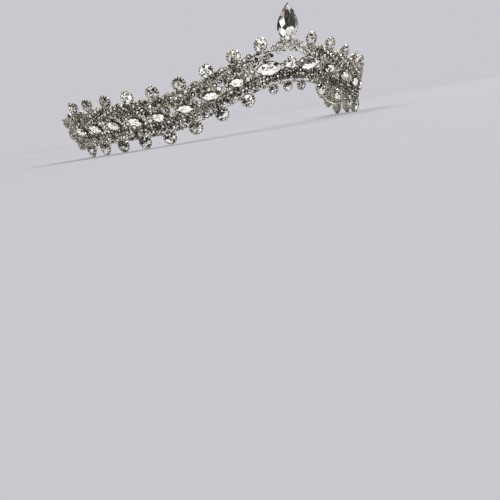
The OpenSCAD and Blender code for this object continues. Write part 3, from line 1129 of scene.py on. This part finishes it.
def floorFinish():  # painted light: lighter far away, where the lamps don't reach
    finish = Finish("floorPaper")
    place = finish.add("ShaderNodeTexCoord", {}, {}, "Object")
    cloud = finish.add("ShaderNodeTexNoise", {}, {"Vector": place, **stage["cloud"]})
    away = finish.add("ShaderNodeVectorMath", {"operation": "LENGTH"}, {0: place}, "Value")
    stops = list(zip(stage["fade"], (stage["near"], stage["far"])))
    reach = away * (1 / stage["size"]) + stage["cloudShare"] * (cloud - 0.5)
    return finish.surface({
        "Base Color": finish.add("ShaderNodeValToRGB", {"stops": stops}, {"Fac": reach}),
        "Roughness": stage["roughness"],
        "Specular IOR Level": stage["gloss"],
    })


def layFloor():
    corners = atHeight(roundOutline(2 * stage["size"], stage["corners"]), 0.0)
    mesh = bpy.data.meshes.new("floor")
    mesh.from_pydata(corners.tolist(), [], [tuple(range(stage["corners"]))])
    mesh.materials.append(floorFinish())
    floor = bpy.data.objects.new("floor", mesh)
    bpy.context.scene.collection.objects.link(floor)


# Pale at eye level, with darker and lighter bands overhead for the facets to pick up
sky = {
    "stops": [
        (0.0, stage["world"]),
        (0.28, stage["world"]),
        (0.36, grey(0.16)),
        (0.52, grey(0.13)),
        (0.6, grey(1.0)),
        (1.0, grey(0.8)),
    ],
    "tint": [(0.05, (0.76, 0.71, 0.6)), (0.75, grey(1.0))],  # warmer and dimmer to the left and in front
    "forwardShare": 0.4,
    "asideShare": 0.3,
}


def skyShade():
    world = bpy.data.worlds.new("studio")
    bpy.context.scene.world = world
    finish = Finish("studio", world)
    way = finish.add("ShaderNodeTexCoord", {}, {}, "Generated")
    height = finish.add("ShaderNodeSeparateXYZ", {}, {0: way}, "Z")
    forward = finish.add("ShaderNodeSeparateXYZ", {}, {0: way}, "Y")
    aside = finish.add("ShaderNodeSeparateXYZ", {}, {0: way}, "X")
    shade = finish.add("ShaderNodeValToRGB", {"stops": sky["stops"]}, {"Fac": height})
    turned = sky["forwardShare"] * forward + sky["asideShare"] * aside + 0.5
    tint = finish.add("ShaderNodeValToRGB", {"stops": sky["tint"]}, {"Fac": turned})
    shade = finish.add("ShaderNodeVectorMath", {"operation": "MULTIPLY"}, {0: shade, 1: tint})
    glow = finish.add("ShaderNodeBackground", {}, {"Color": shade, "Strength": 1.0})
    finish.add("ShaderNodeOutputWorld", {}, {"Surface": glow})


lamps = {  # in metres
    "keyLamp": {"place": (-0.4, -1.5, 1.3), "size": 0.35, "power": 5.0},
    "sideLamp": {"place": (1.3, -0.5, 1.5), "size": 0.35, "power": 14.0},
    "backLamp": {"place": (0.2, 1.4, 1.2), "size": 0.4, "power": 3.0},
}
lampAim = Vector((0, 0, 0.03))


def hangLamps():
    for name, lamp in lamps.items():
        light = bpy.data.lights.new(name, "AREA")
        light.energy, light.size = lamp["power"], lamp["size"]
        holder = bpy.data.objects.new(name, light)
        holder.location = lamp["place"]
        holder.rotation_euler = (lampAim - Vector(lamp["place"])).to_track_quat("-Z", "Y").to_euler()
        bpy.context.scene.collection.objects.link(holder)


view = {
    "place": (-308.7, -534.3, 10.0),
    "azimuth": -28.79,
    "pitch": 7.45,
    "roll": -9.61,
    "focalPixels": 1031.5,
    "photoPixels": 500.0,
    "sensor": 36.0,
    "nearest": 10.0,
}


def placeCamera():
    azimuth, pitch, roll = (math.radians(view[word]) for word in ("azimuth", "pitch", "roll"))
    level = Vector((math.cos(azimuth), math.sin(azimuth), 0.0))
    flat = math.cos(pitch)
    ahead = Vector((-math.sin(azimuth) * flat, math.cos(azimuth) * flat, -math.sin(pitch)))
    upright = level.cross(ahead)
    across = math.cos(roll) * level + math.sin(roll) * upright
    up = math.cos(roll) * upright - math.sin(roll) * level
    lens = bpy.data.cameras.new("camera")
    lens.sensor_width = view["sensor"]
    lens.lens = view["focalPixels"] * view["sensor"] / view["photoPixels"]
    lens.clip_start = view["nearest"] * mm
    camera = bpy.data.objects.new("camera", lens)
    turn = Matrix((across, up, -ahead)).transposed().to_4x4()
    camera.matrix_world = Matrix.Translation(Vector(view["place"]) * mm) @ turn
    bpy.context.scene.collection.objects.link(camera)
    bpy.context.scene.camera = camera


layFloor()
skyShade()
hangLamps()
placeCamera()
bpy.context.scene.view_settings.view_transform = "Standard"

print("Tiara: done")
